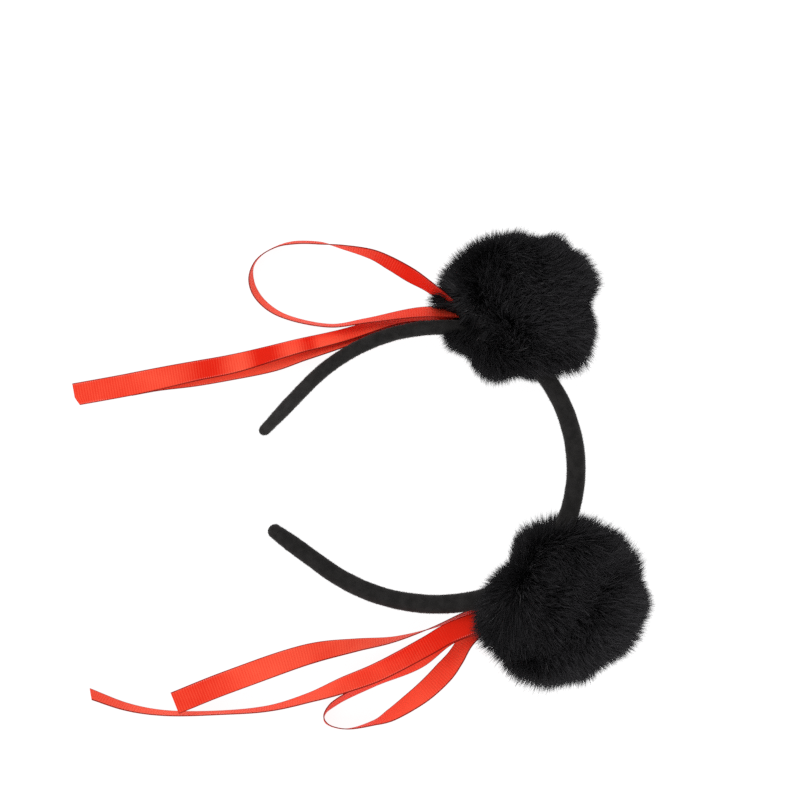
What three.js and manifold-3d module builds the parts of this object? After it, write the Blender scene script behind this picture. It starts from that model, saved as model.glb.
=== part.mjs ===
// Plush headband with two fur pompoms and tied satin ribbons, lying on a table.
// Millimetres, +Z up, the table at z = 0. The hoop opens towards -X. The front pompom is on the -Y arm
// and the back pompom on the +Y arm.
import * as THREE from "three";
import { mergeVertices } from "three/addons/utils/BufferGeometryUtils.js";
import Module from "manifold-3d";

const wasm = await Module();
wasm.setup();

const GAP = 0.3; // left between pieces that touch
const WELD = 1e-4; // points nearer than this are one

// The hoop in its own plane: each half runs from the middle of the crown to a tip along tangent arcs,
// and then straight on. It lies with its tips on the table and its crown lifted by the pompoms.
const HOOP_ARCS = [
  { stretch: "crown", radius: 67, sweep: 27, steps: 6 },
  { stretch: "shoulder", radius: 59, sweep: 55, steps: 12 },
  { stretch: "side", radius: 91, sweep: 47.5, steps: 12 },
];
const HOOP_STRAIGHT = { length: 29, steps: 4 };
const HOOP_CROWN = { x: 99, y: 13.7 }; // plan place of the middle of the crown
const HOOP_HEADING = 5.3; // degrees from +X, of the line from the tips to the crown
const HOOP_TILT = 15.4; // degrees, crown up
const HOOP_SIDES = 12;
const HOOP_DOME = { length: 3, steps: 3, blunt: 0.4 }; // rounded end of the covered band, short of a point
// Thickness of each arm of the covered band, across its plane's radius and along its plane's normal
const HOOP_SECTIONS = {
  back: [
    { along: 0, across: 8.5, deep: 9 },
    { along: 0.55, across: 6.8, deep: 8.4 },
    { along: 1, across: 6.2, deep: 7 },
  ],
  front: [
    { along: 0, across: 8.5, deep: 9 },
    { along: 0.55, across: 8.6, deep: 8.4 },
    { along: 1, across: 7.8, deep: 7 },
  ],
};

// Pompoms: fur balls that sag to a flat foot on the table. Each lump swells the ball along `waves`
// meridians by `height`, with one crest at the azimuth `turn`.
const POMPOMS = {
  back: {
    centre: { x: 74.5, y: 80.5, z: 34 },
    radius: 35.5,
    lumps: [
      { waves: 2, height: 1.4, turn: -13 },
      { waves: 3, height: 1.1, turn: 56 },
      { waves: 4, height: 0.9, turn: 45 },
      { waves: 5, height: 0.8, turn: 32 },
    ],
  },
  front: {
    centre: { x: 94, y: -53, z: 35 },
    radius: 37.5,
    lumps: [
      { waves: 2, height: 2.4, turn: 50 },
      { waves: 3, height: 1.2, turn: -31 },
      { waves: 4, height: 0.7, turn: 5 },
      { waves: 5, height: 0.9, turn: -27 },
    ],
  },
};
const POMPOM_MERIDIANS = 32;
const POMPOM_PARALLELS = 20;

// Ribbons: each row is a place along the ribbon's middle line, with the height of its lower edge over the
// table and its roll about the line. Roll 0 lies flat, 90 stands on edge with the left edge up.
const RIBBON_WIDTH = 10.5;
const RIBBON_THICKNESS = 1;
const RIBBON_STEPS = 4; // between two rows
const RIBBONS = [
  {
    name: "ribbon_loop_back",
    pompom: "back",
    rows: [
      { x: 57, y: 75.8, lift: 29.6, roll: 105 },
      { x: 47.5, y: 79.2, lift: 28.4, roll: 106 },
      { x: 40.6, y: 84.2, lift: 23.5, roll: 110 },
      { x: 33, y: 90, lift: 20, roll: 115 },
      { x: 24.5, y: 95.5, lift: 16, roll: 125 },
      { x: 16, y: 100.6, lift: 13, roll: 121 },
      { x: 8, y: 104.7, lift: 10, roll: 112 },
      { x: -6, y: 108.5, lift: 5, roll: 96 },
      { x: -17, y: 110.5, lift: 2.5, roll: 81 },
      { x: -28, y: 110.8, lift: 1, roll: 80 },
      { x: -36, y: 109.2, lift: 0.3, roll: 84 },
      { x: -44, y: 104.8, lift: 0, roll: 86 },
      { x: -47.6, y: 100, lift: 0, roll: 89 },
      { x: -48.4, y: 93.6, lift: 0, roll: 99 },
      { x: -46.2, y: 87.2, lift: 0, roll: 104 },
      { x: -40.8, y: 81.2, lift: 0, roll: 104 },
      { x: -32.3, y: 76.5, lift: 0, roll: 101 },
      { x: -12, y: 72.4, lift: 0, roll: 99 },
      { x: 5, y: 74.5, lift: 6.5, roll: 103 },
      { x: 30, y: 78, lift: 18, roll: 117 },
      { x: 49.5, y: 78, lift: 19, roll: 120 },
    ],
  },
  {
    name: "ribbon_top_tail_back",
    pompom: "back",
    rows: [
      { x: 49.5, y: 75, lift: 13, roll: 60 },
      { x: 34, y: 76.5, lift: 11, roll: 62 },
      { x: 20.5, y: 75.5, lift: 8, roll: 62 },
      { x: -7, y: 67.5, lift: 3.5, roll: 55 },
      { x: -26, y: 63, lift: 2.2, roll: 50 },
      { x: -39, y: 59.5, lift: 1.7, roll: 44 },
      { x: -57, y: 54.7, lift: 1.7, roll: 32 },
      { x: -75, y: 51.3, lift: 1.7, roll: 27 },
      { x: -93, y: 47.6, lift: 1.7, roll: 12 },
      { x: -107, y: 44.8, lift: 1.5, roll: 0 },
      { x: -131, y: 40.5, lift: 0, roll: 0 },
    ],
  },
  {
    name: "ribbon_under_tail_back",
    pompom: "back",
    rows: [
      { x: 50, y: 73, lift: 10, roll: 62 },
      { x: 34.3, y: 74.4, lift: 9.4, roll: 63 },
      { x: 20.9, y: 73.4, lift: 6.6, roll: 62 },
      { x: -6.3, y: 65.2, lift: 2.7, roll: 53 },
      { x: -25.3, y: 59.9, lift: 1.2, roll: 38 },
      { x: -39, y: 56.1, lift: 0.2, roll: 16 },
      { x: -57, y: 52.6, lift: 0, roll: 3 },
      { x: -75, y: 49.5, lift: 0, roll: 0 },
      { x: -93, y: 47.3, lift: 0, roll: 0 },
      { x: -105, y: 45.1, lift: 0, roll: 0 },
    ],
  },
  {
    name: "ribbon_short_tail_front",
    pompom: "front",
    rows: [
      { x: 66, y: -55.5, lift: 12, roll: 112 },
      { x: 53, y: -59.1, lift: 12.2, roll: 108 },
      { x: 34.5, y: -66.5, lift: 13, roll: 97 },
      { x: 18, y: -71.5, lift: 12.5, roll: 83 },
      { x: 0, y: -74.5, lift: 10, roll: 62 },
      { x: -21, y: -78.9, lift: 8, roll: 33 },
      { x: -61, y: -92.8, lift: 9.2, roll: 0 },
      { x: -83.2, y: -101.6, lift: 11, roll: 0 },
    ],
  },
  {
    name: "ribbon_long_tail_front",
    pompom: "front",
    rows: [
      { x: 65, y: -59.5, lift: 24.2, roll: 34 },
      { x: 43, y: -67.9, lift: 22.6, roll: 35 },
      { x: 33, y: -73.9, lift: 20, roll: 38 },
      { x: 10.5, y: -86.4, lift: 14, roll: 42 },
      { x: -5, y: -92.9, lift: 9, roll: 51 },
      { x: -21, y: -99.2, lift: 4, roll: 72 },
      { x: -40, y: -104.7, lift: 0.5, roll: 83 },
      { x: -63, y: -106.8, lift: 0, roll: 88 },
      { x: -89, y: -106.9, lift: 0, roll: 85 },
      { x: -106, y: -104.1, lift: 0, roll: 80 },
      { x: -124.3, y: -97.6, lift: 0, roll: 74 },
    ],
  },
  {
    name: "ribbon_loop_front",
    pompom: "front",
    rows: [
      { x: 64, y: -60, lift: 6.8, roll: 42 },
      { x: 51.3, y: -72, lift: 10.4, roll: 52 },
      { x: 45.6, y: -80.8, lift: 11.2, roll: 44 },
      { x: 40.3, y: -87.6, lift: 10, roll: 30 },
      { x: 32.5, y: -95.5, lift: 7.8, roll: 36 },
      { x: 24.5, y: -101.9, lift: 5, roll: 49 },
      { x: 15.6, y: -108, lift: 2, roll: 66 },
      { x: 9, y: -111.2, lift: 0.5, roll: 85 },
      { x: -5, y: -114.3, lift: 0, roll: 98 },
      { x: -13.6, y: -111.6, lift: 0, roll: 99 },
      { x: -14.5, y: -108, lift: 0, roll: 88 },
      { x: -10.5, y: -103, lift: 0, roll: 73 },
      { x: 8, y: -93, lift: 1, roll: 66 },
      { x: 29, y: -82.5, lift: 9, roll: 52 },
      { x: 43.5, y: -70, lift: 14, roll: 40 },
      { x: 66, y: -60.5, lift: 19, roll: 12 },
    ],
  },
];

const velvet = () => new THREE.MeshStandardMaterial({ color: 0x161616, roughness: 0.95, metalness: 0 });
const fur = () => new THREE.MeshStandardMaterial({ color: 0x0d0d0d, roughness: 0.9, metalness: 0 });
const satin = () => new THREE.MeshStandardMaterial({ color: 0xe2231a, roughness: 0.45, metalness: 0 });

const radians = THREE.MathUtils.degToRad;

// A closed mesh as a solid, for cutting.
function solidOf(geometry) {
  const bare = geometry.clone();
  bare.deleteAttribute("normal");
  bare.deleteAttribute("uv");
  const merged = mergeVertices(bare, WELD);
  return new wasm.Manifold(
    new wasm.Mesh({
      numProp: 3,
      vertProperties: new Float32Array(merged.attributes.position.array),
      triVerts: new Uint32Array(merged.index.array),
    }),
  );
}

// A solid back as a geometry.
function geometryOf(solid) {
  const mesh = solid.getMesh();
  return new THREE.BufferGeometry()
    .setAttribute("position", new THREE.BufferAttribute(mesh.vertProperties, 3))
    .setIndex(new THREE.BufferAttribute(mesh.triVerts, 1));
}

// A skin through rings of equal length, closed at both ends by fans from the rings' middles.
function loft(rings) {
  const sides = rings[0].length;
  const middle = (ring) => ring.reduce((sum, p) => sum.add(p), new THREE.Vector3()).divideScalar(sides);
  const points = [...rings.flat(), middle(rings[0]), middle(rings.at(-1))];
  const [startMiddle, endMiddle] = [points.length - 2, points.length - 1];
  const lastRing = (rings.length - 1) * sides;
  const faces = [];
  for (let side = 0; side < sides; side++) {
    const next = (side + 1) % sides;
    for (let ring = 0; ring < lastRing; ring += sides) {
      faces.push(ring + side, ring + next, ring + sides + next);
      faces.push(ring + side, ring + sides + next, ring + sides + side);
    }
    faces.push(startMiddle, next, side);
    faces.push(endMiddle, lastRing + side, lastRing + next);
  }
  return new THREE.BufferGeometry().setFromPoints(points).setIndex(faces);
}

// Value of a table's column at a share of the way, straight between rows.
function columnAt(rows, column, along) {
  const after = Math.max(1, rows.findIndex((row) => row.along >= along));
  const [from, to] = [rows[after - 1], rows[after]];
  return THREE.MathUtils.mapLinear(along, from.along, to.along, from[column], to[column]);
}

// Half of the hoop's middle line in its plane, from the crown at 0,0 to the tip: places with headings.
function hoopHalf() {
  let place = new THREE.Vector2(0, 0);
  let heading = Math.PI / 2;
  const stations = [{ place, heading }];
  for (const { radius, sweep, steps } of HOOP_ARCS) {
    const turn = radians(sweep) / steps;
    for (let step = 0; step < steps; step++) {
      const chord = 2 * radius * Math.sin(turn / 2);
      const along = heading + turn / 2;
      place = place.clone().add(new THREE.Vector2(Math.cos(along), Math.sin(along)).multiplyScalar(chord));
      heading += turn;
      stations.push({ place, heading });
    }
  }
  const step = HOOP_STRAIGHT.length / HOOP_STRAIGHT.steps;
  for (let i = 0; i < HOOP_STRAIGHT.steps; i++) {
    place = place.clone().add(new THREE.Vector2(Math.cos(heading), Math.sin(heading)).multiplyScalar(step));
    stations.push({ place, heading });
  }
  let length = 0;
  stations.forEach((station, i) => {
    if (i) length += station.place.distanceTo(stations[i - 1].place);
    station.length = length;
  });
  stations.forEach((station) => (station.along = station.length / length));
  return stations;
}

// The hoop's skin, `grown` outwards all round, turned and tilted about the middle of its crown.
function hoopGeometry(grown = 0) {
  const half = hoopHalf();
  const tip = half.at(-1);
  const dome = [];
  for (let step = 1; step <= HOOP_DOME.steps; step++) {
    const angle = (step / (HOOP_DOME.steps + HOOP_DOME.blunt)) * (Math.PI / 2);
    const reach = HOOP_DOME.length * Math.sin(angle);
    const ahead = new THREE.Vector2(Math.cos(tip.heading), Math.sin(tip.heading)).multiplyScalar(reach);
    dome.push({ ...tip, place: tip.place.clone().add(ahead), shrink: Math.cos(angle) });
  }
  const arm = [...half, ...dome];
  const mirrored = arm.slice(1).reverse();
  const ring = (station, side) => {
    const shrink = station.shrink ?? 1;
    const sections = side > 0 ? HOOP_SECTIONS.back : HOOP_SECTIONS.front;
    const across = (columnAt(sections, "across", station.along) / 2) * shrink + grown;
    const deep = (columnAt(sections, "deep", station.along) / 2) * shrink + grown;
    const outward = new THREE.Vector2(Math.sin(station.heading), -Math.cos(station.heading));
    return Array.from({ length: HOOP_SIDES }, (_, i) => {
      const angle = (i / HOOP_SIDES) * 2 * Math.PI;
      const flat = station.place.clone().addScaledVector(outward, across * Math.cos(angle));
      return new THREE.Vector3(flat.x, side * flat.y, deep * Math.sin(angle));
    });
  };
  const rings = [...mirrored.map((s) => ring(s, -1)), ...arm.map((s) => ring(s, 1))];
  return loft(rings.map((r) => r.reverse())).applyMatrix4(
    new THREE.Matrix4().makeRotationFromEuler(
      new THREE.Euler(0, -radians(HOOP_TILT), radians(HOOP_HEADING), "ZYX"),
    ),
  );
}

// Moves the hoop so that its crown is over its plan place and its tips touch the table.
function hoopPlacement() {
  const box = new THREE.Box3().setFromBufferAttribute(hoopGeometry().attributes.position);
  return new THREE.Matrix4().makeTranslation(HOOP_CROWN.x, HOOP_CROWN.y, -box.min.z);
}

// A ribbon's skin through its rows, `grown` outwards all round.
function ribbonGeometry(rows, grown = 0) {
  const [half, thin] = [RIBBON_WIDTH / 2, RIBBON_THICKNESS / 2];
  const line = new THREE.CatmullRomCurve3(rows.map((row) => new THREE.Vector3(row.x, row.y, row.lift)));
  const rolls = new THREE.CatmullRomCurve3(rows.map((row) => new THREE.Vector3(row.roll, 0, 0)));
  const count = (rows.length - 1) * RIBBON_STEPS;
  const up = new THREE.Vector3(0, 0, 1);
  const rings = [];
  for (let i = 0; i <= count; i++) {
    const roll = radians(rolls.getPoint(i / count).x);
    const place = line.getPoint(i / count);
    const ahead = line.getTangent(i / count).setZ(0).normalize();
    const level = new THREE.Vector3().crossVectors(up, ahead);
    const side = level.clone().multiplyScalar(Math.cos(roll)).addScaledVector(up, Math.sin(roll));
    const face = up.clone().multiplyScalar(Math.cos(roll)).addScaledVector(level, -Math.sin(roll));
    const lower = half * Math.abs(Math.sin(roll)) + thin * Math.abs(Math.cos(roll));
    place.z = Math.max(0, place.z) + lower;
    if (i === 0) place.addScaledVector(ahead, -grown);
    if (i === count) place.addScaledVector(ahead, grown);
    const corner = (w, t) =>
      place.clone().addScaledVector(side, w * (half + grown)).addScaledVector(face, t * (thin + grown));
    rings.push([corner(1, 1), corner(1, -1), corner(-1, -1), corner(-1, 1)].reverse());
  }
  return loft(rings);
}

// A fur ball's outer form, cut flat by the table and around what runs through it.
function pompomGeometry(side, hoop) {
  const { centre, radius, lumps } = POMPOMS[side];
  const ball = new THREE.SphereGeometry(1, POMPOM_MERIDIANS, POMPOM_PARALLELS).rotateX(Math.PI / 2);
  const points = ball.attributes.position;
  const point = new THREE.Vector3();
  for (let i = 0; i < points.count; i++) {
    point.fromBufferAttribute(points, i);
    const azimuth = Math.atan2(point.y, point.x);
    const level = Math.hypot(point.x, point.y);
    const swell = lumps.reduce(
      (sum, { waves, height, turn }) =>
        sum + height * level ** waves * Math.cos(waves * (azimuth - radians(turn))),
      0,
    );
    point.multiplyScalar(radius + swell).add(centre);
    points.setXYZ(i, point.x, point.y, point.z);
  }
  const under = new THREE.BoxGeometry(4 * radius, 4 * radius, radius);
  under.translate(centre.x, centre.y, -radius / 2);
  let solid = solidOf(ball).subtract(solidOf(under)).subtract(hoop);
  for (const { rows } of RIBBONS.filter(({ pompom }) => pompom === side))
    solid = solid.subtract(solidOf(ribbonGeometry(rows, GAP)));
  return geometryOf(solid);
}

function named(name, geometry, material) {
  const mesh = new THREE.Mesh(geometry, material);
  mesh.name = name;
  return mesh;
}

const headband = new THREE.Group();
const placement = hoopPlacement();
const channel = solidOf(hoopGeometry(GAP).applyMatrix4(placement));
headband.add(named("headband_hoop", hoopGeometry().applyMatrix4(placement), velvet()));
for (const side of Object.keys(POMPOMS))
  headband.add(named(`pompom_${side}`, pompomGeometry(side, channel), fur()));
for (const { name, rows } of RIBBONS) headband.add(named(name, ribbonGeometry(rows), satin()));

export default headband;
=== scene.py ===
"""Plush headband lying on a table: a velvet hoop, two fur pompoms and red satin ribbons."""

import math

import bpy
import numpy as np
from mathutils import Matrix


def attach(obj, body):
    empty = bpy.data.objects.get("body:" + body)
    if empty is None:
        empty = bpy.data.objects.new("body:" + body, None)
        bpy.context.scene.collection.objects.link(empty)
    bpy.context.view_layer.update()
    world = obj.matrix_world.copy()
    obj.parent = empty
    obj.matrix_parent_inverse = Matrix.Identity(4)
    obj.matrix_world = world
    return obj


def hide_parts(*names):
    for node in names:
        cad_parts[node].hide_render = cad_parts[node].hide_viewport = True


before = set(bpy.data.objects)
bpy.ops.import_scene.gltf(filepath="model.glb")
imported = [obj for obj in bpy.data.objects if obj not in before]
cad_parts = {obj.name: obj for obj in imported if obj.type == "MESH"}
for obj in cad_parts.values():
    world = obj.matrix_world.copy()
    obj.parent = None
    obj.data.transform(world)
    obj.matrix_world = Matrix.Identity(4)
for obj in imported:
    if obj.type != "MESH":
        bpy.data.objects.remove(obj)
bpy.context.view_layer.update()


# The view. The headband lies flat and is seen from straight above through a long lens, so the
# camera looks down, with +Y up in the picture.
MM = 0.001  # metres
CAMERA_PLACE = (20.5 * MM, 38 * MM, 1100 * MM)
LENS_LENGTH = 106.4  # mm
LENS_SENSOR = 36

lens = bpy.data.cameras.new("camera")
lens.lens = LENS_LENGTH
lens.sensor_width = LENS_SENSOR
camera = bpy.data.objects.new("camera", lens)
camera.location = CAMERA_PLACE
bpy.context.scene.collection.objects.link(camera)
bpy.context.scene.camera = camera


# The hoop. A springy plastic band in a tight sleeve of black velvet, closed into a round tip at each
# end. It lies on its two tips, and the pompoms hold its crown up.
HOOP_BENDS = (  # from the middle of the crown to a tip: (radius in mm, degrees turned)
    (67, 27),
    (59, 55),
    (91, 47.5),
)
HOOP_STRAIGHT = 29  # mm of each arm that runs straight on to its tip
HOOP_BACK_ARM = (  # (share of the way from crown to tip, mm across its plane, mm deep)
    (0, 8.5, 8.6),
    (0.55, 6.5, 7.8),
    (0.93, 6.3, 6.7),
    (1, 5.0, 6.5),
)
HOOP_FRONT_ARM = (
    (0, 8.5, 8.6),
    (0.55, 8.6, 8.1),
    (0.95, 7.9, 6.8),
    (1, 6.4, 6.6),
)
HOOP_CROWN = (99, 13.7)  # mm, plan place of the middle of the crown
HOOP_HEADING = math.radians(5.3)
HOOP_TILT = math.radians(15.4)
HOOP_DOME = 3  # mm of each rounded tip
HOOP_DOME_TURN = math.radians(86)  # of the 90 of a full dome, where a small flat face closes it
HOOP_STEPS = 150  # rings on each arm
HOOP_DOME_STEPS = 8
HOOP_SIDES = 28
HOOP_UNEVEN = 0.12  # mm that the sleeve swells and dips
HOOP_SWELLS = {"count": 9, "longest": 30, "shortest": 3}  # waves of it, and their lengths in mm
HOOP_PAINTED_LIGHT_TIP = (-42, 24, 4)  # mm, the back arm's tip, where painted light makes the velvet paler
HOOP_PAINTED_LIGHT_REACH = 60  # mm from it, over which the painted light fades
VELVET_DEEP = (0.0085, 0.0081, 0.0079, 1)
# painted light: the velvet's colour at the back arm's tip
VELVET_PAINTED_LIT = (0.0335, 0.0315, 0.0309, 1)
VELVET_SHEEN = (0.6, 0.58, 0.56, 1)
VELVET_PATCHES = 260  # lumps to a metre, where the nap lies another way
VELVET_PILE = 3200
NAP_COUNT = 52000
NAP_LENGTH = 0.55  # mm
NAP_LENGTHS = (0.5, 1.25)  # shares of it, from the shortest fibre to the longest
NAP_WIDTH = 0.075  # mm
NAP_LEAN = 0.5  # along the arms, as a share of upright
NAP_STRAY = 0.45
NAP_FLOOR = 0.02  # mm over the table
NAP_SEED = 11


class Signal:
    """A socket of a material's nodes. Sums on it add Math nodes, and `node` adds any other node."""

    def __init__(self, tree, socket=None):
        self.tree = tree
        self.socket = socket

    def node(self, kind, settings=None, inputs=None, output=0):
        """Adds a node, sets its settings and then its inputs' values or links, and gives one output."""
        made = self.tree.nodes.new(kind)
        for name, value in (settings or {}).items():
            setattr(made, name, value)
        for name, value in (inputs or {}).items():
            if isinstance(value, Signal):
                self.tree.links.new(value.socket, made.inputs[name])
            else:
                made.inputs[name].default_value = value
        return Signal(self.tree, made.outputs[output]) if made.outputs else None

    def also(self, output):
        """Another output of the node that this one comes from."""
        return Signal(self.tree, self.socket.node.outputs[output])

    def maths(self, operation, *values):
        """A Math node with these values or links."""
        return self.node("ShaderNodeMath", {"operation": operation}, dict(enumerate(values)))

    def __add__(self, other):
        return self.maths("ADD", self, other)

    def __rsub__(self, other):
        return self.maths("SUBTRACT", other, self)

    def __mul__(self, other):
        return self.maths("MULTIPLY", self, other)

    def __abs__(self):
        return self.maths("ABSOLUTE", self)

    def wave(self):
        """A sine of this, from 0 to 1."""
        return self.maths("SINE", self) * 0.5 + 0.5

    def between(self, low, high):
        """0 up to low, 1 from high on, and a smooth step between them."""
        return self.node(
            "ShaderNodeMapRange",
            {"interpolation_type": "SMOOTHSTEP"},
            {"Value": self, "From Min": low, "From Max": high},
        )

    def tint(self, first, second):
        """The first colour where this is 0 and the second where it is 1."""
        return self.node("ShaderNodeMix", {"data_type": "RGBA"}, {0: self, 6: first, 7: second}, output=2)


def noise_at(place, scale, detail=2.0):
    """Soft noise from 0 to 1, with `scale` lumps to a metre."""
    return place.node("ShaderNodeTexNoise", None, {"Vector": place, "Scale": scale, "Detail": detail})


def new_finish(name):
    """An empty material, and the signal that its nodes start from."""
    finish = bpy.data.materials.new(name)
    finish.use_nodes = True
    finish.node_tree.nodes.clear()
    return finish, Signal(finish.node_tree)


def cloth_shader(start, inputs):
    """Ends a material in one Principled shader with these inputs."""
    shader = start.node("ShaderNodeBsdfPrincipled", None, inputs)
    start.node("ShaderNodeOutputMaterial", None, {"Surface": shader})


def velvet_finish():
    """Black velvet: near black, with patches where the nap lies another way, and painted light that makes
    it paler towards the back arm's tip.
    """
    finish, start = new_finish("black_velvet")
    place = start.node("ShaderNodeTexCoord", output="Object")
    patches = noise_at(place, VELVET_PATCHES).between(0.3, 0.7)
    pile = noise_at(place, VELVET_PILE)
    tip = tuple(x * MM for x in HOOP_PAINTED_LIGHT_TIP)
    from_tip = place.node(
        "ShaderNodeVectorMath",
        {"operation": "DISTANCE"},
        {0: place, 1: tip},
        output="Value",
    )
    # painted light, paler towards the back arm's tip
    painted_tip_light = 1 - from_tip.between(0, HOOP_PAINTED_LIGHT_REACH * MM)
    nap = patches * 0.6 + pile * 0.4 + painted_tip_light
    colour = (nap * 0.5).tint(VELVET_DEEP, VELVET_PAINTED_LIT)
    bump = start.node("ShaderNodeBump", None, {"Strength": 0.35, "Distance": 0.2 * MM, "Height": pile})
    cloth_shader(
        start,
        {
            "Base Color": colour,
            "Roughness": 0.85,
            "Specular IOR Level": 0.12,
            "Sheen Weight": 0.2,
            "Sheen Roughness": 0.45,
            "Sheen Tint": VELVET_SHEEN,
            "Normal": bump,
        },
    )
    return finish


def new_piece(name, points, faces, finish, maps=()):
    """A mesh object at the origin, made from whole arrays.

    `points` are in metres, `faces` is a list of index arrays with a row for each face, and each of
    `maps` is a name with a place on the map for each point.
    """
    mesh = bpy.data.meshes.new(name)
    corners = np.concatenate([rows.ravel() for rows in faces]).astype(np.int32)
    sizes = np.concatenate([np.full(len(rows), rows.shape[1]) for rows in faces])
    starts = np.concatenate([[0], np.cumsum(sizes)[:-1]])
    mesh.vertices.add(len(points))
    mesh.vertices.foreach_set("co", points.astype(np.float32).ravel())
    mesh.loops.add(len(corners))
    mesh.loops.foreach_set("vertex_index", corners)
    mesh.polygons.add(len(sizes))
    mesh.polygons.foreach_set("loop_start", starts.astype(np.int32))
    mesh.polygons.foreach_set("use_smooth", np.ones(len(sizes), bool))
    mesh.materials.append(finish)
    mesh.update(calc_edges=True)
    for map_name, places in maps:
        layer = mesh.uv_layers.new(name=map_name)
        layer.uv.foreach_set("vector", places[corners].astype(np.float32).ravel())
    mesh.validate()
    piece = bpy.data.objects.new(name, mesh)
    bpy.context.scene.collection.objects.link(piece)
    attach(piece, "root")
    return piece


def tube_faces(rings, sides):
    """Faces of a skin through rings of points, closed at both ends by one face each."""
    ring, side = np.meshgrid(np.arange(rings - 1), np.arange(sides), indexing="ij")
    here = ring * sides + side
    beside = ring * sides + (side + 1) % sides
    walls = np.stack([here, beside, beside + sides, here + sides], axis=-1).reshape(-1, 4)
    start = np.arange(sides)[None, ::-1]
    end = start[:, ::-1] + (rings - 1) * sides
    return [walls, start, end]


def unit(vectors):
    """The vectors at length 1."""
    return vectors / np.maximum(np.linalg.norm(vectors, axis=-1, keepdims=True), 1e-12)


def hoop_arm():
    """Middle line of one arm in the hoop's plane: place, heading and share of the way, crown to tip.

    The heading turns evenly along each bend, and the place is the running sum of its steps.
    """
    radii, turns = np.array(HOOP_BENDS, float).T
    lengths = np.append(radii * np.radians(turns), HOOP_STRAIGHT)
    ends = np.append(0, np.cumsum(lengths))
    turned = np.append(0, np.cumsum(np.radians(turns)))
    headings = math.pi / 2 + np.append(turned, turned[-1])
    along = np.linspace(0, ends[-1], HOOP_STEPS)
    heading = np.interp(along, ends, headings)
    middle = (heading[1:] + heading[:-1]) / 2
    steps = np.stack([np.cos(middle), np.sin(middle)], axis=-1) * (along[1] - along[0])
    place = np.concatenate([np.zeros((1, 2)), np.cumsum(steps, axis=0)])
    return place, heading, along / ends[-1]


def hoop_rings(sections):
    """Rings of points round one arm, in mm, in the hoop's plane: an ellipse across the middle line.

    Past the end of the arm the ellipse shrinks by the cosine of an angle while its place goes on by
    the sine, which rounds the tip.
    """
    place, heading, share = hoop_arm()
    angle = np.linspace(0, HOOP_DOME_TURN, HOOP_DOME_STEPS + 1)[1:]
    ahead = np.array([np.cos(heading[-1]), np.sin(heading[-1])])
    place = np.concatenate([place, place[-1] + HOOP_DOME * np.sin(angle)[:, None] * ahead])
    heading = np.append(heading, np.full(HOOP_DOME_STEPS, heading[-1]))
    shrink = np.append(np.ones(HOOP_STEPS), np.cos(angle))
    share = np.append(share, np.ones(HOOP_DOME_STEPS))
    shares, across, deep = np.array(sections, float).T
    around = np.arange(HOOP_SIDES) / HOOP_SIDES * 2 * math.pi
    out = (np.interp(share, shares, across) / 2 * shrink)[:, None] * np.cos(around)
    up = (np.interp(share, shares, deep) / 2 * shrink)[:, None] * np.sin(around)
    return np.stack(
        [
            place[:, :1] + np.sin(heading)[:, None] * out,
            place[:, 1:] - np.cos(heading)[:, None] * out,
            up,
        ],
        axis=-1,
    )


def hoop_in_place(points):
    """Points of the hoop's plane as it lies: tilted crown up, turned, and moved to its place in plan."""
    x = points[..., 0] * math.cos(HOOP_TILT) - points[..., 2] * math.sin(HOOP_TILT)
    z = points[..., 0] * math.sin(HOOP_TILT) + points[..., 2] * math.cos(HOOP_TILT)
    y = points[..., 1]
    return np.stack(
        [
            x * math.cos(HOOP_HEADING) - y * math.sin(HOOP_HEADING) + HOOP_CROWN[0],
            x * math.sin(HOOP_HEADING) + y * math.cos(HOOP_HEADING) + HOOP_CROWN[1],
            z,
        ],
        axis=-1,
    )


def waves_at(points, seed, count, longest, shortest):
    """Smooth unevenness about 0 at each point: a sum of sine waves in random directions."""
    random = np.random.default_rng(seed)
    lengths = np.geomspace(longest, shortest, count)
    ways = unit(random.normal(size=(count, 3))) * (2 * math.pi / lengths)[:, None]
    shifts = random.uniform(0, 2 * math.pi, count)
    return np.sin(points @ ways.T + shifts).mean(axis=-1) * math.sqrt(2)


back_arm = hoop_rings(HOOP_BACK_ARM)
front_arm = hoop_rings(HOOP_FRONT_ARM) * (1, -1, 1)
rings = hoop_in_place(np.concatenate([front_arm[:0:-1], back_arm]))
rings[..., 2] += NAP_LENGTH / 3 - rings[..., 2].min()  # the nap under the tips is pressed down
hoop_middle = rings.mean(axis=1)
outward = unit(rings - hoop_middle[:, None])
swell = HOOP_UNEVEN * waves_at(rings, NAP_SEED, **HOOP_SWELLS)
rings += outward * swell[..., None]
black_velvet = velvet_finish()
hoop = new_piece(
    "headband_hoop_velvet",
    rings.reshape(-1, 3) * MM,
    tube_faces(len(rings), HOOP_SIDES),
    black_velvet,
)
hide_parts("headband_hoop")


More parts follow.
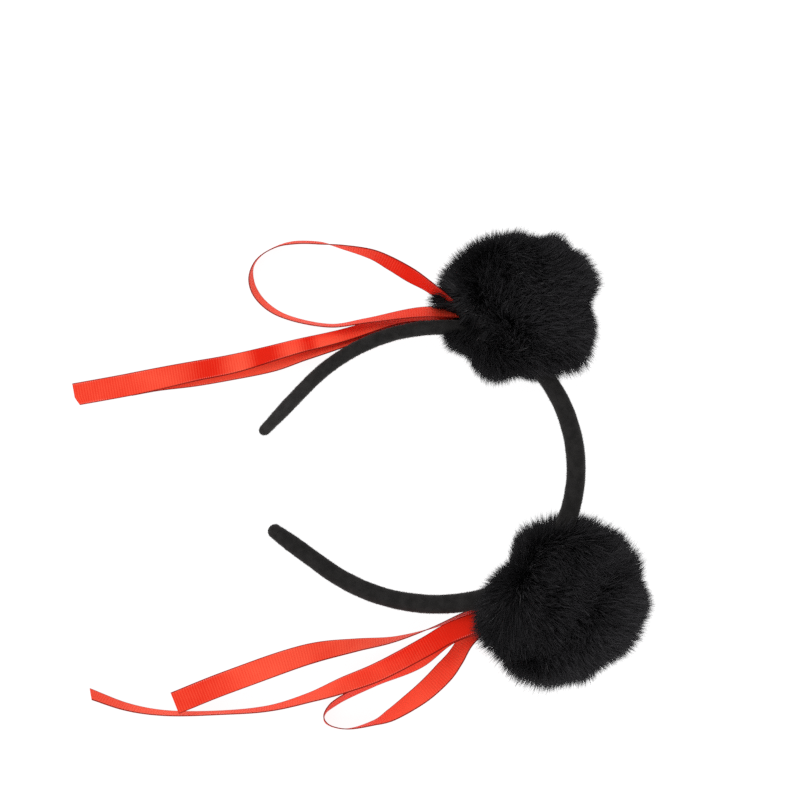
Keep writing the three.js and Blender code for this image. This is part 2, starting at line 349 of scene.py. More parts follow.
def hoop_nap():
    """Short fibres that stand on the sleeve and lean along the arms, each a single triangle."""
    random = np.random.default_rng(NAP_SEED)
    ring = random.integers(1, len(rings) - 1, NAP_COUNT)
    side = random.integers(0, HOOP_SIDES, NAP_COUNT)
    share = random.random((2, NAP_COUNT, 1))
    beside = (side + 1) % HOOP_SIDES
    low = rings[ring, side] * (1 - share[0]) + rings[ring, beside] * share[0]
    high = rings[ring - 1, side] * (1 - share[0]) + rings[ring - 1, beside] * share[0]
    root = low * (1 - share[1]) + high * share[1]
    out = unit(root - hoop_middle[ring])
    lean = unit(rings[ring, side] - rings[ring - 1, side]) * NAP_LEAN
    way = unit(out + lean + NAP_STRAY * random.normal(size=(NAP_COUNT, 3)))
    tip = root + way * NAP_LENGTH * random.uniform(*NAP_LENGTHS, (NAP_COUNT, 1))
    tip[:, 2] = np.maximum(tip[:, 2], NAP_FLOOR)
    wide = unit(np.cross(way, random.normal(size=(NAP_COUNT, 3)))) * NAP_WIDTH / 2
    points = np.stack([root - wide, root + wide, tip], axis=1).reshape(-1, 3)
    return points, [np.arange(NAP_COUNT * 3).reshape(-1, 3)]


nap_points, nap_faces = hoop_nap()
nap = new_piece("headband_hoop_nap", nap_points * MM, nap_faces, black_velvet)


# The ribbons. Woven red satin 10.5 mm wide, sewn into each pompom as a loop and two loose tails, which
# lie as they fell: flat, rolled over or standing on one edge.
RIBBON_WIDTH = 10.5  # mm
RIBBON_THICKNESS = 0.32
RIBBON_EDGE = 0.14  # mm that the woven edge is thicker
RIBBON_EDGE_AT = (0.88, 0.94)  # of half the width, where it starts to thicken and where it is full
RIBBON_CLEAR = 0.5  # mm that the middle of a flat stretch lies over its row's height
RIBBON_ACROSS = 13  # points from edge to edge
RIBBON_STEP = 1.0  # mm between two rings
RIBBON_FINE = 60  # steps between two rows by which the line is first measured
RIBBONS = {  # (x, y, height of the lower edge in mm, roll in degrees), 90 standing with the left edge up
    "ribbon_loop_back": (
        (57, 75.8, 29.6, 105),
        (47.5, 79.2, 28.4, 106),
        (40.6, 84.2, 23.5, 110),
        (33, 90, 20, 115),
        (24.5, 95.5, 16, 125),
        (16, 100.6, 13, 121),
        (8, 104.7, 10, 112),
        (-6, 108.5, 5, 96),
        (-17, 110.5, 2.5, 81),
        (-28, 110.8, 1, 80),
        (-36, 109.2, 0.3, 84),
        (-44, 104.8, 0, 86),
        (-47.6, 100, 0, 89),
        (-48.4, 93.6, 0, 99),
        (-46.2, 87.2, 0, 104),
        (-40.8, 81.2, 0, 104),
        (-32.3, 76.5, 0, 101),
        (-12, 72.4, 0, 99),
        (5, 74.5, 6.5, 103),
        (30, 78, 18, 117),
        (49.5, 78, 19, 120),
    ),
    "ribbon_top_tail_back": (
        (49.5, 75, 13, 60),
        (34, 76.5, 11, 62),
        (20.5, 75.5, 8, 62),
        (-7, 67.5, 3.5, 55),
        (-26, 63, 2.2, 50),
        (-39, 59.5, 1.7, 44),
        (-57, 54.7, 1.7, 32),
        (-75, 51.3, 1.7, 27),
        (-93, 47.6, 1.7, 12),
        (-107, 44.8, 1.5, 0),
        (-131, 40.5, 0, 0),
    ),
    "ribbon_under_tail_back": (
        (50, 73, 10, 62),
        (34.3, 74.4, 9.4, 63),
        (20.9, 73.4, 6.6, 62),
        (-6.3, 65.2, 2.7, 53),
        (-25.3, 59.9, 1.2, 38),
        (-39, 56.1, 0.2, 16),
        (-57, 52.6, 0, 3),
        (-75, 49.5, 0, 0),
        (-93, 47.3, 0, 0),
        (-105, 45.1, 0, 0),
    ),
    "ribbon_short_tail_front": (
        (66, -55.5, 12, 112),
        (53, -59.1, 12.2, 108),
        (34.5, -66.5, 13, 97),
        (18, -71.5, 12.5, 83),
        (0, -74.5, 10, 62),
        (-21, -78.9, 8, 33),
        (-61, -92.8, 9.2, 0),
        (-83.2, -101.6, 11, 0),
    ),
    "ribbon_long_tail_front": (
        (65, -59.5, 24.2, 34),
        (43, -67.9, 22.6, 35),
        (33, -73.9, 20, 38),
        (10.5, -86.4, 14, 42),
        (-5, -92.9, 9, 51),
        (-21, -99.2, 4, 72),
        (-40, -104.7, 0.5, 83),
        (-63, -106.8, 0, 88),
        (-89, -106.9, 0, 85),
        (-106, -104.1, 0, 80),
        (-124.3, -97.6, 0, 74),
    ),
    "ribbon_loop_front": (
        (64, -60, 6.8, 42),
        (51.3, -72, 10.4, 52),
        (45.6, -80.8, 11.2, 44),
        (40.3, -87.6, 10, 30),
        (32.5, -95.5, 7.8, 36),
        (24.5, -101.9, 5, 49),
        (15.6, -108, 2, 66),
        (9, -111.2, 0.5, 85),
        (-5, -114.3, 0, 98),
        (-13.6, -111.6, 0, 99),
        (-14.5, -108, 0, 88),
        (-10.5, -103, 0, 73),
        (8, -93, 1, 66),
        (29, -82.5, 9, 52),
        (43.5, -70, 14, 40),
        (66, -60.5, 19, 12),
    ),
}
RIBBON_RIPPLES = {  # (mm along from the sewn end, mm up, mm wide) of the swells in a tail that lies flat
    "ribbon_top_tail_back": ((81, 0.9, 9), (100, -0.5, 7), (113, 1.1, 9), (146, 0.5, 14)),
    "ribbon_under_tail_back": ((100, 0.5, 40),),
    "ribbon_short_tail_front": ((60, 0.6, 12), (95, -0.6, 12), (122, 0.7, 12)),
}
RIBBON_PAINTED_LIGHT = {  # (mm along, amount, mm wide) of painted light where the satin is paler, and of painted shade where it is darker and the amount is negative
    "ribbon_top_tail_back": (
        (42, 0.7, 9),
        (66, 1.2, 7),
        (73.5, -0.9, 4),
        (82, 0.5, 5),
        (95.5, -1.1, 7),
        (107, 0.8, 6),
        (122, -0.9, 9),
        (148, 0.35, 9),
    ),
    "ribbon_under_tail_back": ((100, 0.9, 40),),
    "ribbon_loop_back": ((36, -0.9, 22), (145, 0.7, 35)),
    "ribbon_short_tail_front": (
        (54, 0.4, 10),
        (70, 0.3, 12),
        (96, 0.35, 9),
        (112, 0.5, 16),
        (150, -0.25, 20),
    ),
    "ribbon_long_tail_front": ((18, -0.85, 24), (92, 0.65, 18), (155, 0.8, 35)),
    "ribbon_loop_front": ((20, 0.5, 12), (62, 1.1, 13)),
}
RIBBON_CUTS = {  # (mm that the left corner of a cut end is drawn back, and from where across, -1 to 1)
    "ribbon_top_tail_back": (1.8, 0.3),
    "ribbon_long_tail_front": (3.4, -1),
}
RIBBON_CUT_LENGTH = 6  # mm before a cut end that are drawn back with it
RIBBON_RIB = 1.25  # mm between two ribs of the weave
RIBBON_FLOATS = 13  # lengthwise lines across the width
RIBBON_PICOT = 1.0  # mm between two loops of the woven edge
SATIN_DEEP = (0.74, 0.018, 0.007, 1)
SATIN_BRIGHT = (0.98, 0.105, 0.055, 1)
SATIN_LOOP_GLINT = (1, 0.42, 0.36, 1)
SATIN_LOOPS_AT = (0.8, 0.84)  # of half the width
# painted shade: a dark line along each woven edge
SATIN_EDGE_SHADE = (0.16, 0.007, 0.006, 1)
SATIN_EDGE_AT = (0.91, 0.95)
SATIN_PAINTED_LIGHT_BASE = 0.14  # level of the painted light where none is listed
SATIN_SHEEN_PATCHES = 60  # lumps to a metre of painted sheen: paler and darker patches at random, which also vary the roughness
SATIN_GRAIN = 900
SATIN_LOOP_GLINT_STRETCHES = 40  # stretches to a metre where the loops carry painted glints


def satin_finish():
    """Red satin: fine ribs across, floats lengthwise, painted light and shade, painted shade along the
    woven edge, and painted glints on the edge's loops.
    """
    finish, start = new_finish("red_satin")
    weave = start.node("ShaderNodeUVMap", {"uv_map": "weave"})
    along = weave.node("ShaderNodeSeparateXYZ", None, {"Vector": weave})
    across = along.also("Y")
    # painted light and shade along the ribbon, read from its own map
    painted_light = start.node("ShaderNodeUVMap", {"uv_map": "painted_light"})
    painted_light = painted_light.node("ShaderNodeSeparateXYZ", None, {"Vector": painted_light})
    place = start.node("ShaderNodeTexCoord", output="Object")
    # painted sheen: paler and darker patches at random, also used for the roughness
    patches = noise_at(place, SATIN_SHEEN_PATCHES).between(0.3, 0.7)
    grain = noise_at(place, SATIN_GRAIN)
    ribs = (along * (2 * math.pi / RIBBON_RIB) + grain * 2).wave()
    floats = (across * (math.pi * RIBBON_FLOATS) + grain * 2).wave()
    from_middle = abs(across)
    edge = from_middle.between(*SATIN_EDGE_AT)
    selvedge = from_middle.between(*SATIN_LOOPS_AT) * (1 - edge)
    loops = (along * (2 * math.pi / RIBBON_PICOT)).wave().between(0.55, 0.85)
    # The weave's own ribs, floats and grain, mixed with painted light and shade along the ribbon and
    # painted sheen patches.
    weave_and_painted_light = painted_light * 0.7 + patches * 0.25 + grain * 0.1 + ribs * 0.34 + floats * 0.1
    body = weave_and_painted_light.tint(SATIN_DEEP, SATIN_BRIGHT)
    # painted glints: the woven edge's loops turn pale in some stretches
    glinting = noise_at(place, SATIN_LOOP_GLINT_STRETCHES).between(0.42, 0.6)
    with_loop_glints = (selvedge * loops * glinting * 0.3).tint(body, SATIN_LOOP_GLINT)
    # painted shade darkens the woven edge
    colour = (edge * 0.85).tint(with_loop_glints, SATIN_EDGE_SHADE)
    height = ribs * 0.45 + floats * 0.3 + grain * 0.25
    bump = start.node("ShaderNodeBump", None, {"Strength": 0.1, "Distance": 0.15 * MM, "Height": height})
    cloth_shader(
        start,
        {
            "Base Color": colour,
            "Roughness": patches * 0.1 + 0.4,
            "Specular IOR Level": 0.015,
            "Normal": bump,
        },
    )
    return finish


def through(points, at):
    """A smooth line through the points, read at row numbers with fractions.

    Between two points it is a cubic. The slope at a point weighs the steps on both sides by the square
    roots of their lengths, so that a short step isn't overshot.
    """
    ends = np.concatenate([[2 * points[0] - points[1]], points, [2 * points[-1] - points[-2]]])
    leap = np.diff(ends, axis=0)
    size = np.sqrt(np.linalg.norm(leap, axis=1, keepdims=True))
    size = np.where(size < 1e-2, 1, size)  # for two points that are alike
    pace = leap / size
    slope = pace[:-1] + pace[1:] - (leap[:-1] + leap[1:]) / (size[:-1] + size[1:])
    row = np.minimum(at.astype(int), len(points) - 2)
    part = (at - row)[:, None]
    start = slope[row] * size[row + 1]
    end = slope[row + 1] * size[row + 1]
    step = points[row + 1] - points[row]
    square = 3 * step - 2 * start - end
    cube = start + end - 2 * step
    return points[row] + part * start + part**2 * square + part**3 * cube


def bells_at(length, bells):
    """The sum of bell curves along a ribbon, each with its place, height and width."""
    curves = [high * np.exp(-(((length - place) / wide) ** 2)) for place, high, wide in bells]
    return sum(curves, 0 * length)


def ribbon_rings(rows, ripples, cut):
    """Rings of points round a ribbon in mm, their places on the weave, its length and its middle line.

    The ribbon's width lies level and square to its line, turned by the roll, and its middle is raised
    until its lower edge has the row's height, plus a bell curve for each ripple. The edges are a little
    thicker than the rest. At the cut end the last rings are drawn back on the left by the cut.
    """
    table = np.array(rows, float)
    fine = np.linspace(0, len(rows) - 1, RIBBON_FINE * len(rows))
    rough = through(table[:, :3], fine)
    gone = np.append(0, np.cumsum(np.linalg.norm(np.diff(rough, axis=0), axis=1)))
    count = int(gone[-1] / RIBBON_STEP) + 1
    at = np.interp(np.linspace(0, gone[-1], count), gone, fine)
    line = through(table[:, :3], at)
    roll = np.radians(through(table[:, 3:], at))
    ahead = np.gradient(line, axis=0) * (1, 1, 0)
    level = unit(np.cross((0, 0, 1), ahead))
    up = np.array([0, 0, 1.0])
    width = np.cos(roll) * level + np.sin(roll) * up
    face = np.cos(roll) * up - np.sin(roll) * level
    half = RIBBON_WIDTH / 2
    raised = half * np.abs(np.sin(roll)) + RIBBON_CLEAR * np.abs(np.cos(roll))
    line[:, 2:] = np.maximum(line[:, 2:], 0) + raised
    length = np.append(0, np.cumsum(np.linalg.norm(np.diff(line, axis=0), axis=1)))
    line[:, 2] += bells_at(length, ripples)
    across = np.sin(np.linspace(-math.pi / 2, math.pi / 2, RIBBON_ACROSS))
    edge = np.interp(np.abs(across), RIBBON_EDGE_AT, (0, 1))
    thick = RIBBON_THICKNESS / 2 + RIBBON_EDGE / 2 * edge
    across = np.append(across, across[::-1])
    thick = np.append(thick, -thick[::-1])
    rings = line[:, None] + width[:, None] * (across * half)[:, None] + face[:, None] * thick[:, None]
    near_end = np.clip(1 - (length[-1] - length) / RIBBON_CUT_LENGTH, 0, 1)
    back = near_end[:, None] * cut[0] * np.clip((across - cut[1]) / (1 - cut[1]), 0, 1)
    rings -= unit(ahead)[:, None] * back[..., None]
    weave = np.stack(np.broadcast_arrays(length[:, None], across), axis=-1)
    return rings, weave, length[-1], line


red_satin = satin_finish()
ribbon_lines = {}
for name, rows in RIBBONS.items():
    ribbon_points, weave, length, ribbon_lines[name] = ribbon_rings(
        rows, RIBBON_RIPPLES.get(name, ()), RIBBON_CUTS.get(name, (0, 0))
    )
    # painted light and shade along each ribbon: the listed bells over a base level
    painted_light = bells_at(weave[..., 0], RIBBON_PAINTED_LIGHT.get(name, ())) + SATIN_PAINTED_LIGHT_BASE
    painted_light_map = np.stack([painted_light, 0 * painted_light], axis=-1)
    ribbon = new_piece(
        f"{name}_satin",
        ribbon_points.reshape(-1, 3) * MM,
        tube_faces(*ribbon_points.shape[:2]),
        red_satin,
        [("weave", weave.reshape(-1, 2)), ("painted_light", painted_light_map.reshape(-1, 2))],
    )
    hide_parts(name)
    length * MM


# The pompoms. Each is a ball of black faux fur with a dense undercoat and longer hairs over it, sewn
# round the hoop's shoulder. It sags to a flat foot on the table, and the back one's fur is pressed down
# where the hoop and the ribbons lie on it.
POMPOM_CORE = 0.6  # of the fur's reach, where the backing cloth is
POMPOM_MERIDIANS = 72
POMPOM_PARALLELS = 40
BACKING_DEEP = (0.002, 0.002, 0.002, 1)
BACKING_PILE = (0.006, 0.006, 0.006, 1)
BACKING_LUMPS = 1500  # to a metre
POMPOMS = {
    "back": {
        "centre": (74.5, 80.5, 34),
        "radius": 37.0,
        # (waves round the ball, mm high, azimuth of a crest)
        "lumps": ((2, 1.4, -13), (3, 1.1, 56), (4, 0.9, 45), (5, 0.8, 32)),
        # (azimuth, mm, degrees wide) of tufts, and of partings where mm is negative
        "tufts": (
            (0, -3, 10),
            (16, 2.2, 9),
            (48, -2.5, 9),
            (62, 1.6, 11),
            (74, -3, 9),
            (178, 3, 5),
            (210, 1.9, 9),
            (225, -2, 9),
            (250, 2.6, 14),
            (270, -2, 9),
            (315, 2.2, 10),
        ),
        "flow": (1, -0.1, 0),  # which way the hair is brushed
        "seed": 21,
    },
    "front": {
        "centre": (94, -53, 35),
        "radius": 39.0,
        "lumps": ((2, 2.4, 50), (3, 1.2, -31), (4, 0.7, 5), (5, 0.9, -27)),
        "tufts": (
            (0, 1.5, 9),
            (15, -1.2, 8),
            (30, 1.5, 9),
            (120, 1.2, 8),
            (142, -3, 11),
            (205, 1.5, 12),
            (245, 2.4, 16),
            (271, -1.8, 9),
            (285, 1, 9),
            (305, -1.2, 11),
        ),
        "flow": (1, -0.45, 0),
        "seed": 31,
    },
}
FUR_LAYERS = {  # tufts and hairs in each by number, width in mm, and all else as shares
    "undercoat": {
        "tufts": 4500,
        "hairs": 8,
        "reach": 0.98,
        "gather": 0.5,
        "width": 0.46,
        "uneven": 0.012,
        "lean": 0.05,
        "stray": 0.03,
        "shades": (0.3, 0.5),
    },
    "hairs": {
        "tufts": 9100,
        "hairs": 4,
        "reach": 1.025,
        "gather": 0.8,
        "width": 0.3,
        "uneven": 0.016,
        "lean": 0.06,
        "stray": 0.01,
        "shades": (0.25, 0.65),
    },
    "guard_hairs": {
        "tufts": 7000,
        "hairs": 3,
        "reach": 1.05,
        "gather": 0.9,
        "width": 0.36,
        "uneven": 0.012,
        "lean": 0.06,
        "stray": 0.003,
        "shades": (0.35, 0.9),
    },
}
FUR_BRUSHED = 0.4  # how far the hair on the flow's near side is brushed up, as a share of upright
FUR_BRUSHED_FROM = (-1, -0.65)  # along the flow, from -1 to 1, where that sets in
FUR_BRUSHED_TO = (-0.15, 0.3)  # and where it dies away
FUR_BRUSHED_OVER = (0, 0.4)  # and from which height on, from -1 to 1
FUR_COMB = 0.08  # how far the hair on its far side is combed over
FUR_COMB_FROM = (-0.5, 0.2)  # along the flow
FUR_WAVES = 0.22  # and how far its waves carry it to one side or the other
FUR_SWIRLS = {"count": 6, "longest": 2.2, "shortest": 0.6}  # the waves, and their lengths in radii
FUR_SCATTER = 0.6  # how far a tuft is moved off its even place, where the next one is 3.5 away
FUR_UNEVEN_LIMITS = (-2, 1.5)  # times the layer's unevenness, for the shortest tuft and the longest
FUR_SHORTER = 0.05  # share of its reach that a hair at the rim of a tuft is shorter
FUR_ROOTED = 0.03  # share of the reach that a root lies inside the backing
FUR_WIDEST = 0.6  # of the way from root to tip, where a hair is widest
FUR_BEND = 0.45  # of its turn from root to tip that a hair has made there
FUR_WIDTHS = (0.6, 1.2)  # shares of the layer's width, from the thinnest hair to the thickest
FUR_TUFT_FADE = 6  # power by which tufts and partings fade towards the top and the foot
FUR_FLOOR = 0.15  # mm over the table
FUR_SPREAD = 0.5  # mm outwards for each mm that the table lifts the fur
FUR_BANK = 10  # mm that pressed fur rises for each mm beside what lies on it
FUR_FRINGE = 0.2  # mm along X for each mm of Y, how the fringe slants over what lies on the back pompom
PRESSED_BY_HOOP = (36, 67.7)  # mm, from where along X, and to where along X + fringe x Y
PRESSED_BY_RIBBONS = (34, 59.7)
PRESSED_BESIDE_RIBBON = RIBBON_WIDTH / 6  # mm on each side of the middle of a rolled ribbon
PRESSED_OVER_BACKING = 0.04  # share of the radius that pressed hair keeps above the backing
PRESSED_PAINTED_SHADE = 0.9  # painted shade: how much of its shade a hair loses where the hoop and the ribbons press it flat
PRESSED_DEPTHS = (0.5, 5)  # mm pressed down, from no loss to all of it
FUR_NEAR_PAINTED_SHADE = 0.75  # painted shade: what a hair loses on the side that the flow comes from
FUR_NEAR_SIDE = (-0.75, 0.1)  # along the flow, from all of that loss to none
FUR_SHADE_SHARED = 0.4  # share of a hair's shade that its whole tuft has
FUR_ROOT = (0.0125, 0.0121, 0.0131, 1)
FUR_TIP = (0.062, 0.06, 0.0651, 1)
FUR_PALE = (0.16, 0.157, 0.16, 1)
FUR_PALE_SHARE = 0.003  # of the hairs


def fur_finish():
    """Black faux fur: darkest at the root, greyer at the tip, each hair of its own shade, a few pale."""
    finish, start = new_finish("black_fur")
    hair = start.node("ShaderNodeUVMap", {"uv_map": "OFBake"})
    # The shade across the map holds each hair's own tone and the painted shade from pressing and from the
    # flow's near side.
    shade = hair.node("ShaderNodeSeparateXYZ", None, {"Vector": hair})
    length = shade.also("Y")
    grey = (shade * 0.85 + 0.15) * length.between(0.1, 1)
    dark = grey.tint(FUR_ROOT, FUR_TIP)
    colour = (shade.between(0.985, 0.995) * length).tint(dark, FUR_PALE)
    cloth_shader(
        start,
        {"Base Color": colour, "Roughness": 0.6, "Specular IOR Level": 0.12},
    )
    return finish


def backing_finish():
    """The knitted backing of the fur, which only shows as black between the hairs."""
    finish, start = new_finish("black_fur_backing")
    place = start.node("ShaderNodeTexCoord", output="Object")
    pile = noise_at(place, BACKING_LUMPS, detail=3)
    colour = pile.tint(BACKING_DEEP, BACKING_PILE)
    bump = start.node("ShaderNodeBump", None, {"Strength": 0.6, "Distance": 0.5 * MM, "Height": pile})
    cloth_shader(
        start,
        {"Base Color": colour, "Roughness": 0.95, "Specular IOR Level": 0.05, "Normal": bump},
    )
    return finish


def fur_reach(ball, heading):
    """How far the fur reaches from the ball's middle in each direction, in mm.

    To the radius each lump adds its height times level^waves times the cosine of waves x (azimuth -
    turn), and each tuft a bell curve round its azimuth, both fading towards the top and the foot.
    """
    azimuth = np.arctan2(heading[..., 1], heading[..., 0])
    level = np.hypot(heading[..., 0], heading[..., 1])
    reach = np.full(azimuth.shape, float(ball["radius"]))
    for waves, height, turn in ball["lumps"]:
        reach += height * level**waves * np.cos(waves * (azimuth - math.radians(turn)))
    for turn, height, wide in ball["tufts"]:
        away = np.degrees(np.angle(np.exp(1j * (azimuth - math.radians(turn)))))
        reach += height * level**FUR_TUFT_FADE * np.exp(-((away / wide) ** 2))
    return reach


def spiral(count, random):
    """Directions spread evenly over a ball by the golden angle, each moved a little at random."""
    number = np.arange(count) + 0.5
    height = 1 - 2 * number / count
    turn = number * math.pi * (3 - math.sqrt(5))
    level = np.sqrt(1 - height**2)
    even = np.stack([level * np.cos(turn), level * np.sin(turn), height], axis=-1)
    return unit(even + random.normal(scale=FUR_SCATTER / math.sqrt(count), size=(count, 3)))


def on_table(points, centre):
    """Points that would be under the table, laid on it and spread outwards by a share of their depth."""
    depth = np.maximum(FUR_FLOOR - points[..., 2], 0)
    away = unit((points - centre)[..., :2])
    points[..., :2] += away * depth[..., None] * FUR_SPREAD
    points[..., 2] += depth
    return points


def run_on_fur(line, span, drop):
    """Every second point of a line from a place along X up to the slanting fringe, lowered by the drop."""
    slanted = line[:, 0] + FUR_FRINGE * line[:, 1]
    inside = (line[:, 0] > span[0]) & (slanted < span[1]) & (line[:, 1] > 0)
    return line[inside][::2] - (0, 0, drop)


def pressed_down(points, run, half, ball):
    """Lowers points of hair to lie under a run.

    Within half the run's width the height is at most the run's own, and beyond that the most it may be
    rises by the bank for each mm away. Over the backing it stays a little above the backing.
    """
    away = np.hypot(points[..., 0, None] - run[:, 0], points[..., 1, None] - run[:, 1])
    most = (run[:, 2] + FUR_BANK * np.maximum(away - half, 0)).min(axis=-1)
    x, y, z = ball["centre"]
    least = ball["radius"] * (POMPOM_CORE + PRESSED_OVER_BACKING)
    over = least**2 - (points[..., 0] - x) ** 2 - (points[..., 1] - y) ** 2
    most = np.where(over > 0, np.maximum(most, z + np.sqrt(np.maximum(over, 0))), most)
    points[..., 2] = np.minimum(points[..., 2], most)


def ramp(value, low, high):
    """0 up to low, 1 from high on, and a smooth step between them."""
    part = np.clip((value - low) / (high - low), 0, 1)
    return part * part * (3 - 2 * part)


def comb_way(ball, heading):
    """How far and which way the hair lies over at each direction.

    On the side that the flow comes from, the upper half is brushed upwards. On the other side the hair is
    combed along with the flow. Three fields of waves, without their upright part, are added.
    """
    flow = unit(np.array(ball["flow"], float))
    along = heading @ flow
    rise = np.array([0, 0, 1.0]) - heading * heading[..., 2:]
    ahead = flow - heading * along[..., None]
    brushed = (
        FUR_BRUSHED
        * ramp(along, *FUR_BRUSHED_FROM)
        * (1 - ramp(along, *FUR_BRUSHED_TO))
        * ramp(heading[..., 2], *FUR_BRUSHED_OVER)
    )
    combed = FUR_COMB * ramp(along, *FUR_COMB_FROM)
    way = np.stack([waves_at(heading, ball["seed"] + k, **FUR_SWIRLS) for k in range(3)], axis=-1)
    way -= heading * (way * heading).sum(axis=-1, keepdims=True)
    return brushed[..., None] * rise + combed[..., None] * ahead + FUR_WAVES * way


def fur_hairs(ball, layer, random):
    """Root, middle and tip of each hair of a layer, in mm, with a row for each tuft.

    Hairs grow in tufts. A root lies anywhere in its tuft's patch, the tip is drawn in towards the tuft's
    line by the gathering, and the tuft as a whole leans and is combed over. A hair is shorter by the
    square of its distance from the tuft's line, so that a tuft ends in a point.
    """
    tufts, hairs = layer["tufts"], layer["hairs"]
    line = spiral(tufts, random)
    patch = 2 / math.sqrt(tufts)  # radius of one tuft's share of the ball
    spot = random.normal(scale=patch, size=(tufts, hairs, 3))
    root_way = unit(line[:, None] + spot)
    lean = comb_way(ball, line) + random.normal(scale=layer["lean"], size=(tufts, 3))
    stray = random.normal(scale=layer["stray"], size=(tufts, hairs, 3))
    tip_way = unit(line[:, None] + spot * (1 - layer["gather"]) + lean[:, None] + stray)
    tuft_reach = 1 + layer["uneven"] * np.clip(random.normal(size=(tufts, 1)), *FUR_UNEVEN_LIMITS)
    rim = np.minimum((spot**2).sum(axis=-1) / (3 * patch**2), 2)
    reach = fur_reach(ball, tip_way) * layer["reach"] * tuft_reach * (1 - FUR_SHORTER * rim)
    start = fur_reach(ball, root_way) * (POMPOM_CORE - FUR_ROOTED)
    root = root_way * start[..., None]
    tip = tip_way * reach[..., None]
    bent = unit(root_way * (1 - FUR_BEND) + tip_way * FUR_BEND)
    middle = bent * (start * (1 - FUR_WIDEST) + reach * FUR_WIDEST)[..., None]
    return np.stack([root, middle, tip], axis=2)


def blades(hair, width, shade, random):
    """Thin blades as one mesh, widest at the middle and ending in a point at both the root and the tip.

    A blade's flat side looks a random way round its length. Points come four to a blade: root, middle left
    and right, and tip. The map has the blade's shade across and its length up.
    """
    root, middle, tip = hair[:, 0], hair[:, 1], hair[:, 2]
    count = len(hair)
    side = unit(np.cross(tip - root, random.normal(size=(count, 3)))) * width[:, None] / 2
    points = np.stack([root, middle - side, middle + side, tip], axis=1)
    first = np.arange(count)[:, None] * 4
    faces = [first + np.array([0, 2, 1]), first + np.array([1, 2, 3])]
    shades = np.repeat(shade[:, None], 4, axis=1)
    length = np.broadcast_to([0, 0.5, 0.5, 1], (count, 4))
    return points.reshape(-1, 3), faces, np.stack([shades, length], axis=-1).reshape(-1, 2)


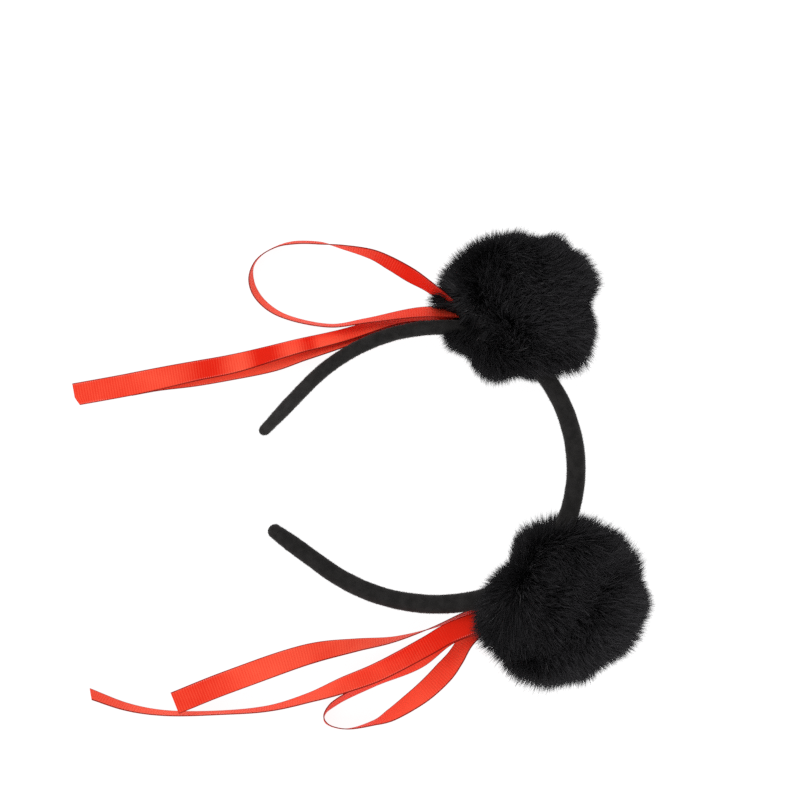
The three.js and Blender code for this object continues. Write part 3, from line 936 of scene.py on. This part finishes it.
black_fur = fur_finish()
fur_backing = backing_finish()
hoop_run = run_on_fur(hoop_middle, PRESSED_BY_HOOP, 0)
hoop_half = HOOP_BACK_ARM[1][1] / 2  # mm, at the shoulder
ribbon_runs = [
    run_on_fur(line, PRESSED_BY_RIBBONS, RIBBON_WIDTH / 2)
    for name, line in ribbon_lines.items()
    if name.endswith("_back")
]
for side, ball in POMPOMS.items():
    centre = np.array(ball["centre"], float)
    azimuth = np.linspace(0, 2 * math.pi, POMPOM_MERIDIANS, endpoint=False)
    polar = np.linspace(0, math.pi, POMPOM_PARALLELS + 2)[1:-1, None]
    heading = np.stack(
        [np.sin(polar) * np.cos(azimuth), np.sin(polar) * np.sin(azimuth), np.cos(polar) + 0 * azimuth],
        axis=-1,
    )[::-1]
    ball_rings = on_table(heading * POMPOM_CORE * fur_reach(ball, heading)[..., None] + centre, centre)
    core = new_piece(
        f"pompom_{side}_backing",
        ball_rings.reshape(-1, 3) * MM,
        tube_faces(POMPOM_PARALLELS, POMPOM_MERIDIANS),
        fur_backing,
    )
    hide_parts(f"pompom_{side}")
    for number, (layer_name, layer) in enumerate(FUR_LAYERS.items()):
        random = np.random.default_rng(ball["seed"] + number)
        hair = fur_hairs(ball, layer, random).reshape(-1, 3, 3)
        with_flow = unit(hair[:, 2]) @ unit(np.array(ball["flow"], float))
        hair = on_table(hair + centre, centre)
        free_height = hair[:, 2, 2].copy()
        if side == "back":
            pressed_down(hair[:, 1:], hoop_run, hoop_half, ball)
            for run in ribbon_runs:
                pressed_down(hair[:, 1:], run, PRESSED_BESIDE_RIBBON, ball)
        wide = layer["width"] * random.uniform(*FUR_WIDTHS, len(hair))
        tuft_shade = np.repeat(random.random(layer["tufts"]), layer["hairs"])
        darkest, lightest = layer["shades"]
        own_shade = random.random(len(hair))
        mixed = tuft_shade * FUR_SHADE_SHARED + own_shade * (1 - FUR_SHADE_SHARED)
        shade = darkest + (lightest - darkest) * mixed
        # painted shade where the hoop and the ribbons press the hair flat
        shade *= 1 - PRESSED_PAINTED_SHADE * ramp(free_height - hair[:, 2, 2], *PRESSED_DEPTHS)
        # painted shade on the side of the ball that the flow comes from
        shade *= 1 - FUR_NEAR_PAINTED_SHADE * (1 - ramp(with_flow, *FUR_NEAR_SIDE))
        pale = random.random(len(hair)) < FUR_PALE_SHARE
        points, faces, places = blades(hair, wide, np.where(pale, 1, shade), random)
        fur = new_piece(f"pompom_{side}_{layer_name}", points * MM, faces, black_fur, [("OFBake", places)])


# The table and the light. A white ground, lit by a pale room, by a large soft lamp on the far side and
# by a weaker one on the near side.
WHITE = (1, 1, 1, 1)
FLOOR_SIZE = 6.0  # metres
FLOOR_GREY = (0.16, 0.16, 0.16, 1)
FLOOR_GLOW = 0.92
ROOM_LIGHT = 0.62
LAMPS = {  # place and size in metres, and power in watts
    "key": {"place": (-0.31, 0.75, 1.12), "size": 1.3, "power": 8},
    "fill": {"place": (-0.12, -0.92, 0.85), "size": 1.3, "power": 6.6},
}


def floor_finish():
    """White ground that glows, so that shadows on it stay faint."""
    finish, start = new_finish("white_ground")
    cloth_shader(
        start,
        {
            "Base Color": FLOOR_GREY,
            "Roughness": 1.0,
            "Specular IOR Level": 0.0,
            "Emission Color": WHITE,
            "Emission Strength": FLOOR_GLOW,
        },
    )
    return finish


half_floor = FLOOR_SIZE / 2
floor_mesh = bpy.data.meshes.new("floor")
floor_mesh.from_pydata(
    [(x * half_floor, y * half_floor, 0) for x, y in ((-1, -1), (1, -1), (1, 1), (-1, 1))],
    [],
    [(0, 1, 2, 3)],
)
floor_mesh.materials.append(floor_finish())
floor = bpy.data.objects.new("floor", floor_mesh)
bpy.context.scene.collection.objects.link(floor)

room = bpy.data.worlds.new("room")
room.use_nodes = True
background = room.node_tree.nodes["Background"]
background.inputs["Color"].default_value = WHITE
background.inputs["Strength"].default_value = ROOM_LIGHT
bpy.context.scene.world = room

aim = camera.location.copy()
aim.z = 0
for name, lamp in LAMPS.items():
    light = bpy.data.lights.new(name, "AREA")
    light.energy = lamp["power"]
    light.size = lamp["size"]
    stand = bpy.data.objects.new(name, light)
    stand.location = lamp["place"]
    stand.rotation_euler = (aim - stand.location).to_track_quat("-Z", "Y").to_euler()
    bpy.context.scene.collection.objects.link(stand)
bpy.context.scene.view_settings.view_transform = "Standard"
bpy.context.scene.cycles.use_denoising = False
